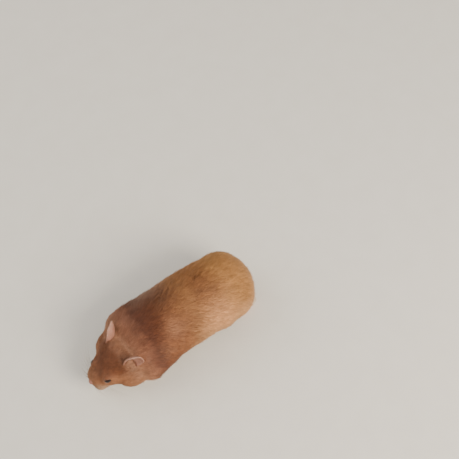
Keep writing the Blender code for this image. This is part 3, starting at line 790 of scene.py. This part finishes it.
def over_the_hide(points, headings, step):
    """Goes a step along the hide from each point, and gives the new points, their normals and headings."""
    found, outward = np.empty_like(points), np.empty_like(points)
    for k, goal in enumerate((points + headings * step[:, None]).tolist()):
        spot, _, face, _ = hide_tree.find_nearest(goal)
        found[k] = spot
        outward[k] = facing[hide_tris[face]].mean(axis=0)
    outward /= np.linalg.norm(outward, axis=1)[:, None]
    return found, outward, laid(headings, outward)


middle, middle_normal, middle_flow = over_the_hide(root, flow, hair_length * MM * 0.5)
last, last_normal, _ = over_the_hide(middle, middle_flow, hair_length * MM * 0.5)

# Golden hair: each hair is greyed at its root, clear in the middle and a little darker at its tip, which
# gives the coat its depth. It is soft and satiny, with no hard shine, and each tuft has its own tone.
coat_finish, tree, shader = finish_of("golden_hair", 0.60, IOR=1.45, Sheen_Weight=0.10, Sheen_Roughness=0.4)
shader.inputs["Sheen Tint"].default_value = linear("#f1d9b8")
place = add(tree, "Attribute", attribute_name="place")
along = add(tree, "Attribute", attribute_name="along").outputs["Fac"]
tone = add(tree, "Attribute", attribute_name="tone").outputs["Fac"]
coat_colour = tree.nodes.new("ShaderNodeGroup")
coat_colour.node_tree = markings_and_light
tree.links.new(place.outputs["Vector"], coat_colour.inputs[0])
tree.links.new(add(tree, "Attribute", attribute_name="pale").outputs["Fac"], coat_colour.inputs[1])
banded = add(tree, "ValToRGB", in_0=along)
banded.color_ramp.elements[0].position, banded.color_ramp.elements[0].color = 0.0, linear("#beb4ae")
banded.color_ramp.elements[1].position, banded.color_ramp.elements[1].color = 0.35, linear("#ffffff")
tipped = banded.color_ramp.elements.new(0.97)
tipped.color = linear("#d6cdc6")
held = add(
    tree, "Mix", data_type="RGBA", blend_type="MULTIPLY", in_0=1.0, in_6=coat_colour.outputs[0],
    in_7=banded.outputs[0],
)
tuft_light = add(tree, "MapRange", in_Value=tone, in_3=0.85, in_4=1.15)
hair = add(tree, "VectorMath", operation="SCALE", in_0=held.outputs[2], in_Scale=tuft_light.outputs[0])
tree.links.new(hair.outputs[0], shader.inputs["Base Color"])

SIDES = 3  # a tuft is three-sided, with a ring of points at its root, one at its middle, and a tip
TUFT_POINTS = 2 * SIDES + 1
ROOT_SUNK = 0.15 * MM  # each root starts this far under the skin
ROOT_SHARE, MIDDLE_SHARE, MIDDLE_RISE = 0.62, 0.9, 0.66
HALF_WIDTH, FLATNESS = 0.58, 0.55  # a tuft is about half as thick as it is wide
SOFTENING = 1.15  # a tuft is shaded mostly as the skin below it faces, so the coat looks sleek
PATCH = 0.003  # the size of a tuft's place on the coat's colour map


def coat_piece(name, chosen):
    """One joined mesh of the chosen tufts: each is three-sided and closed, and ends in a point."""
    total = len(chosen)
    side = np.cross(normal[chosen], flow[chosen])
    spin = rng.uniform(-0.5, 0.5, total)
    corners = np.empty((total, TUFT_POINTS, 3))
    bent = np.empty_like(corners)
    far_side = np.cross(middle_normal[chosen], middle_flow[chosen])
    tall = (stand[chosen] * MM)[:, None]
    stations = (
        (root[chosen] - normal[chosen] * ROOT_SUNK, normal[chosen], side, ROOT_SHARE),
        (
            middle[chosen] + middle_normal[chosen] * tall * MIDDLE_RISE,
            middle_normal[chosen], far_side, MIDDLE_SHARE,
        ),
    )
    for ring, (centre, outward, across, share) in enumerate(stations):
        for k in range(SIDES):
            angle = 2 * math.pi * k / SIDES + math.pi / 2 + spin
            arm = across * np.cos(angle)[:, None] + outward * (FLATNESS * np.sin(angle))[:, None]
            half = (width[chosen] * MM * HALF_WIDTH * share)[:, None]
            corners[:, ring * SIDES + k] = centre + arm * half
            bent[:, ring * SIDES + k] = outward * SOFTENING + arm
    corners[:, -1] = last[chosen] + last_normal[chosen] * tall
    bent[:, -1] = last_normal[chosen]
    pattern = [(0, 2, 1)]
    for k in range(SIDES):
        after = (k + 1) % SIDES
        pattern += [
            (k, after, SIDES + after), (k, SIDES + after, SIDES + k), (SIDES + k, SIDES + after, 2 * SIDES),
        ]
    faces = (np.arange(total) * TUFT_POINTS)[:, None, None] + np.array(pattern)[None]
    mesh = bpy.data.meshes.new(name)
    mesh.vertices.add(total * TUFT_POINTS)
    mesh.vertices.foreach_set("co", corners.astype(np.float32).ravel())
    mesh.loops.add(faces.size)
    mesh.loops.foreach_set("vertex_index", faces.astype(np.int32).ravel())
    mesh.polygons.add(total * len(pattern))
    mesh.polygons.foreach_set("loop_start", np.arange(0, faces.size, 3, dtype=np.int32))
    mesh.update(calc_edges=True)
    mesh.shade_smooth()
    piece = shown(name, mesh)
    mark(piece, "place", np.repeat(root[chosen], TUFT_POINTS, axis=0), "FLOAT_VECTOR")
    mark(piece, "pale", np.repeat(pale_at[chosen], TUFT_POINTS))
    mark(piece, "along", np.tile([0.0] * SIDES + [0.5] * SIDES + [1.0], total))
    mark(piece, "tone", np.repeat(rng.random(total), TUFT_POINTS))
    flat = np.empty((total, TUFT_POINTS, 2))
    for k in range(SIDES):
        flat[:, k] = (PATCH * k / SIDES, 0)
        flat[:, SIDES + k] = (PATCH * k / SIDES, PATCH * 0.5)
    flat[:, -1] = (PATCH * 0.4, PATCH)
    flat += np.clip(root_uv[chosen], 0, 1 - PATCH)[:, None, :]
    layer = mesh.uv_layers.new(name="OFBake")
    layer.uv.foreach_set("vector", flat.reshape(-1, 2)[faces.ravel()].astype(np.float32).ravel())
    bent = bent.reshape(-1, 3)
    bent /= np.linalg.norm(bent, axis=1)[:, None]
    mesh.normals_split_custom_set_from_vertices(bent)
    mesh.materials.append(coat_finish)
    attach(piece, "root")


def belongs(*starts):
    """Which tufts are rooted in the parts whose names start so."""
    return np.isin(owner_at, [k for k, name in enumerate(FLESH) if name.startswith(starts)])


# The coat is parted into pieces that are each light enough to handle. The cuts are in millimetres: from
# the nose on the head, and behind the middle of the body on the trunk.
FACE_END, CHEEKS_END = 21, 32
SHOULDERS_END, LOINS_END, QUARTERS_END = 0, 20, 44
from_tip, behind = near(root, nose), -root[:, 0] / MM
on_left = root[:, 1] > 0
trunk_tufts, head_tufts = belongs("trunk"), belongs("head", "nose", "ear")
hind_tufts = belongs("hindleg", "hindfoot", "tail")
regions = {
    "coat_face": head_tufts & (from_tip < FACE_END),
    "coat_cheeks": head_tufts & (from_tip >= FACE_END) & (from_tip < CHEEKS_END),
    "coat_crown_left": head_tufts & (from_tip >= CHEEKS_END) & on_left,
    "coat_crown_right": head_tufts & (from_tip >= CHEEKS_END) & ~on_left,
    "coat_neck": belongs("neck"),
    "coat_shoulders": trunk_tufts & (behind < SHOULDERS_END),
    "coat_loins": trunk_tufts & (behind >= SHOULDERS_END) & (behind < LOINS_END),
    "coat_quarters": trunk_tufts & (behind >= LOINS_END) & (behind < QUARTERS_END),
    "coat_rump": trunk_tufts & (behind >= QUARTERS_END),
    "coat_forelimbs": belongs("foreleg", "forepaw"),
    "coat_hindlimb_left": hind_tufts & on_left,
    "coat_hindlimb_right": hind_tufts & ~on_left,
}
for name, chosen in regions.items():
    coat_piece(name, np.flatnonzero(chosen))

# ---- The claws. Short curved nails of pale horn, which grow from the blunt end of each toe: four on each
# forefoot, whose thumb is only a stump, and five on each hindfoot.
CLAW_RADIUS = 0.40 * MM
CLAW_PATH = (  # ahead of the toe's end and up from it, in millimetres
    (-0.5, 0.02), (0.2, 0.24), (0.8, 0.22), (1.35, -0.05), (1.8, -0.50),
)
CLAW_TAPER = (1.0, 0.95, 0.76, 0.48, 0.12)
CLAW_SIDES = 8
# Pale horn: polished by wear and a little waxy, so it has a soft shine. It clouds from cream to tan over
# about 1.4 mm.
claw_finish, tree, shader = finish_of("pale_horn", 0.38, IOR=1.54, Subsurface_Weight=0.1)
grain = add(
    tree, "TexNoise", in_Vector=add(tree, "TexCoord").outputs["Object"], in_Scale=700.0, in_Detail=2.0
)
horn = add(
    tree, "Mix", data_type="RGBA", in_0=grain.outputs[0], in_6=linear("#d8c0a4"), in_7=linear("#b98f74")
)
tree.links.new(horn.outputs[2], shader.inputs["Base Color"])


def tapered(bm, path, radii, sides):
    """A round, bent, closed horn or hair that follows a path."""
    rings = []
    for k, (centre, radius) in enumerate(zip(path, radii)):
        ahead = (path[min(k + 1, len(path) - 1)] - path[max(k - 1, 0)]).normalized()
        across = ahead.cross(Vector((0, 0, 1)) if abs(ahead.z) < 0.9 else Vector((1, 0, 0))).normalized()
        over = across.cross(ahead)
        rings.append([
            bm.verts.new(centre + (across * math.cos(t) + over * math.sin(t)) * radius)
            for t in (2 * math.pi * j / sides for j in range(sides))
        ])
    for low, high in zip(rings, rings[1:]):
        for j in range(sides):
            bm.faces.new((low[j], high[j], high[(j + 1) % sides], low[(j + 1) % sides]))
    bm.faces.new(rings[0])
    bm.faces.new(rings[-1][::-1])


for paw, toes in TOES.items():
    claws = bmesh.new()
    for x, y, heading in toes:
        turn = math.radians(heading)
        path = [
            Vector((
                (x + math.cos(turn) * ahead) * MM, (y + math.sin(turn) * ahead) * MM, TOE_HEIGHT + up * MM,
            ))
            for ahead, up in CLAW_PATH
        ]
        tapered(claws, path, [CLAW_RADIUS * share for share in CLAW_TAPER], CLAW_SIDES)
    claw_mesh = bpy.data.meshes.new("claws_" + paw)
    claws.to_mesh(claw_mesh)
    claws.free()
    claw_mesh.shade_smooth()
    nails = shown("claws_" + paw, claw_mesh)
    claw_mesh.materials.append(claw_finish)
    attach(nails, "root")

# ---- The whiskers. Long stiff hairs in four rows on each lip's pad, and a pair over each eye, which
# sweep outward and back. Each is rooted in the hide and tapers to a fine end.
PAD_ROWS = (4, 5, 5, 4)  # whiskers in each row, from the top one down
BROW = ((2.5, 5.4, 4.6, 13), (1.2, 6.0, 5.0, 10))  # ahead, to the side and up, and length, in millimetres
WHISKER_RADIUS, WHISKER_TAPER = 0.055 * MM, 0.84
WHISKER_SIDES, WHISKER_STOPS, WHISKER_SUNK = 4, 9, -0.02
DROOP, SWEEP = 0.12, 0.26  # how far the end bends down and back, as shares of the length
# Whisker hair: stiff and smooth, dark at the root and clearing to a pale end, with a thin line of shine.
whisker_finish, tree, shader = finish_of("whisker_hair", 0.4, IOR=1.5)
length_of = add(tree, "Attribute", attribute_name="along")
bristle = add(tree, "ValToRGB", in_0=length_of.outputs["Fac"])
bristle.color_ramp.elements[0].color = linear("#5a4030")
bristle.color_ramp.elements[1].color = linear("#e6d6c2")
tree.links.new(bristle.outputs[0], shader.inputs["Base Color"])
draw = np.random.default_rng(5)
whiskers = bmesh.new()
stops = np.linspace(0, 1, WHISKER_STOPS)
share_of = []
for side in (1, -1):
    starts = []
    for row, in_row in enumerate(PAD_ROWS):  # each whisker is rooted behind the last and grows longer
        for step in range(in_row):
            follicle = head_place(
                9.6 - 1.5 * step - 0.3 * row, (3.0 + 0.75 * step) * side, -2.9 - 1.15 * row
            )
            starts.append((follicle, 9 + 3.3 * step, row))
    starts += [(head_place(ahead, left * side, up), length, 0) for ahead, left, up, length in BROW]
    for follicle, length, row in starts:
        spot, outward, _, _ = hide_tree.find_nearest(follicle)
        # Long whiskers sweep back the most, and those of the lower rows point down the most.
        swept = 0.55 - 0.035 * length - 0.08 * row + draw.normal(0, 0.05)
        raised = 0.30 - 0.17 * row + draw.normal(0, 0.04)
        heading = (head_left * side + head_ahead * swept + head_up * raised + outward * 0.25).normalized()
        length *= MM * draw.uniform(0.85, 1.1)
        bend = Vector((0, 0, -1)) * DROOP - head_ahead * SWEEP
        path = [
            spot + heading * length * t + bend * length * t * t
            for t in np.linspace(WHISKER_SUNK, 1, WHISKER_STOPS)
        ]
        tapered(whiskers, path, [WHISKER_RADIUS * (1 - WHISKER_TAPER * t) for t in stops], WHISKER_SIDES)
        share_of += [t for t in stops for _ in range(WHISKER_SIDES)]
whisker_mesh = bpy.data.meshes.new("whiskers")
whiskers.to_mesh(whisker_mesh)
whiskers.free()
whisker_mesh.shade_smooth()
bristles = shown("whiskers", whisker_mesh)
mark(bristles, "along", share_of)
whisker_mesh.materials.append(whisker_finish)
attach(bristles, "root")

# ---- The floor. A plain pale sheet of board, three metres square, laid flat under the feet. From above its
# edges are out of sight, and from the side the far one shows as a quiet line.
FLOOR_HALF = 1.5
board = bmesh.new()
bmesh.ops.create_grid(board, x_segments=2, y_segments=2, size=FLOOR_HALF)
floor_mesh = bpy.data.meshes.new("floor")
board.to_mesh(floor_mesh)
board.free()
floor = shown("floor", floor_mesh)
# Pale board: uncoated and matt, so it takes soft shadows and gives no shine, with faint clouds in its
# pulp about 17 mm apart.
floor_finish, tree, shader = finish_of("pale_board", 0.85)
pulp = add(tree, "TexNoise", in_Vector=add(tree, "TexCoord").outputs["Object"], in_Scale=60.0, in_Detail=3.0)
board_colour = add(
    tree, "Mix", data_type="RGBA", in_0=pulp.outputs[0], in_6=linear("#e9e4da"), in_7=linear("#e2dcd1")
)
tree.links.new(board_colour.outputs[2], shader.inputs["Base Color"])
floor_mesh.materials.append(floor_finish)

# ---- The light. One large soft lamp on the animal's left and a little behind it, a weaker one opposite,
# and a pale room all round.
LAMPS = (  # name, place, size, power, tint
    ("key_lamp", (-0.28, 0.70, 0.62), 0.5, 10.5, "#fff4e4"),
    ("fill_lamp", (0.55, -0.60, 0.75), 0.9, 4.5, "#f6f4f2"),
)
LIT_PLACE = Vector((0, 0, 0.02))
ROOM_LIGHT = 0.85
for name, lamp_place, size, power, tint in LAMPS:
    lamp = bpy.data.lights.new(name, "AREA")
    lamp.size, lamp.energy, lamp.color = size, power, linear(tint)[:3]
    lamp_stand = bpy.data.objects.new(name, lamp)
    lamp_stand.location = lamp_place
    lamp_stand.rotation_mode = "QUATERNION"
    lamp_stand.rotation_quaternion = (LIT_PLACE - Vector(lamp_place)).to_track_quat("-Z", "Y")
    bpy.context.scene.collection.objects.link(lamp_stand)
room = bpy.data.worlds.new("room")
room.use_nodes = True
background = room.node_tree.nodes["Background"]
background.inputs[0].default_value = linear("#f4f2ee")
background.inputs[1].default_value = ROOM_LIGHT
bpy.context.scene.world = room

# ---- The camera. It stands high over the animal's left shoulder and looks down at it, and back along the
# way that it has come.
CAMERA_PLACE = (0.08433, 0.19168, 0.61352)
CAMERA_AIM = (-0.24925, -0.34667, -0.90426)
lens = bpy.data.cameras.new("camera")
lens.sensor_width, lens.lens = 36.0, 67.18
lens.clip_start, lens.clip_end = 0.01, 10.0
camera = bpy.data.objects.new("camera", lens)
camera.location = CAMERA_PLACE
camera.rotation_mode = "QUATERNION"
camera.rotation_quaternion = Vector(CAMERA_AIM).to_track_quat("-Z", "Y")
bpy.context.scene.collection.objects.link(camera)
bpy.context.scene.camera = camera

bpy.context.view_layer.update()
